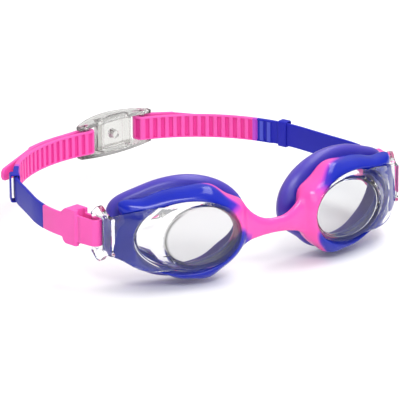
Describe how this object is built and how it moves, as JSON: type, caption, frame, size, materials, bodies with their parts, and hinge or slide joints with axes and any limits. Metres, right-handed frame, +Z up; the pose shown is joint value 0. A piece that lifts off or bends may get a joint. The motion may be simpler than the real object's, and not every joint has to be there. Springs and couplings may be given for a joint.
{
  "type": "swim goggles",
  "caption": "Small swim goggles with clear wrapped lenses, soft surrounds, a nose bridge and an adjustable ribbed strap with a rear buckle.",
  "frame": {"origin": "midway between the two temples at the height of the strap, in the wearer's face plane", "axes": "+Z up, -Y the way the wearer looks, +X to the right of somebody who faces the goggles; left and right in the names are as that person sees them"},
  "size_m": [0.1572, 0.1487, 0.0434],
  "materials": {
    "lens_clear": "clear moulded polycarbonate, polished",
    "surround_blue": "glossy soft moulding",
    "seal_violet": "translucent silicone, glossy",
    "soft_pink": "satin silicone",
    "strap_blue": "satin silicone",
    "buckle_clear": "clear moulded plastic"
  },
  "bodies": {
    "frame": {"left_lens": "lens_clear", "right_lens": "lens_clear", "left_shell": "surround_blue", "right_shell": "surround_blue", "left_seal": "seal_violet", "right_seal": "seal_violet", "nose_bridge": "soft_pink"},
    "left_strap": {"left_strap_end": "soft_pink", "left_strap_band": "strap_blue", "left_strap_ladder": "soft_pink"},
    "right_strap": {"right_strap_end": "soft_pink", "right_strap_band": "strap_blue", "right_strap_ladder": "soft_pink"},
    "left_keeper": {"left_keeper": "strap_blue"},
    "right_keeper": {"right_keeper": "strap_blue"},
    "buckle": {"buckle": "buckle_clear"}
  },
  "joints": [
    {"name": "left_strap_swing", "type": "hinge", "parent": "frame", "child": "left_strap", "pos_m": [-0.071, 0.0025, 0], "axis": [0, 0, 1], "range_deg": [-3, 3]},
    {"name": "right_strap_swing", "type": "hinge", "parent": "frame", "child": "right_strap", "pos_m": [0.071, 0.0025, 0], "axis": [0, 0, 1], "range_deg": [-2.6, 2.6]},
    {"name": "buckle_turn", "type": "hinge", "parent": "left_strap", "child": "buckle", "pos_m": [-0.01829, 0.11088, 0], "axis": [0, 0, 1], "range_deg": [-12.6, 12.6]},
    {"name": "left_keeper_slide", "type": "hinge", "parent": "left_strap", "child": "left_keeper", "pos_m": [-0.02012, 0.0506, 0], "axis": [0, 0, 1], "range_deg": [-2.5, 8]},
    {"name": "right_keeper_slide", "type": "hinge", "parent": "right_strap", "child": "right_keeper", "pos_m": [0.00098, 0.04875, 0], "axis": [0, 0, 1], "range_deg": [-5.9, 2.5]}
  ],
  "couplings": [
    {"joint": "right_strap_swing", "follows": "left_strap_swing", "ratio": 0.754},
    {"joint": "buckle_turn", "follows": "left_strap_swing", "ratio": -3.997}
  ]
}
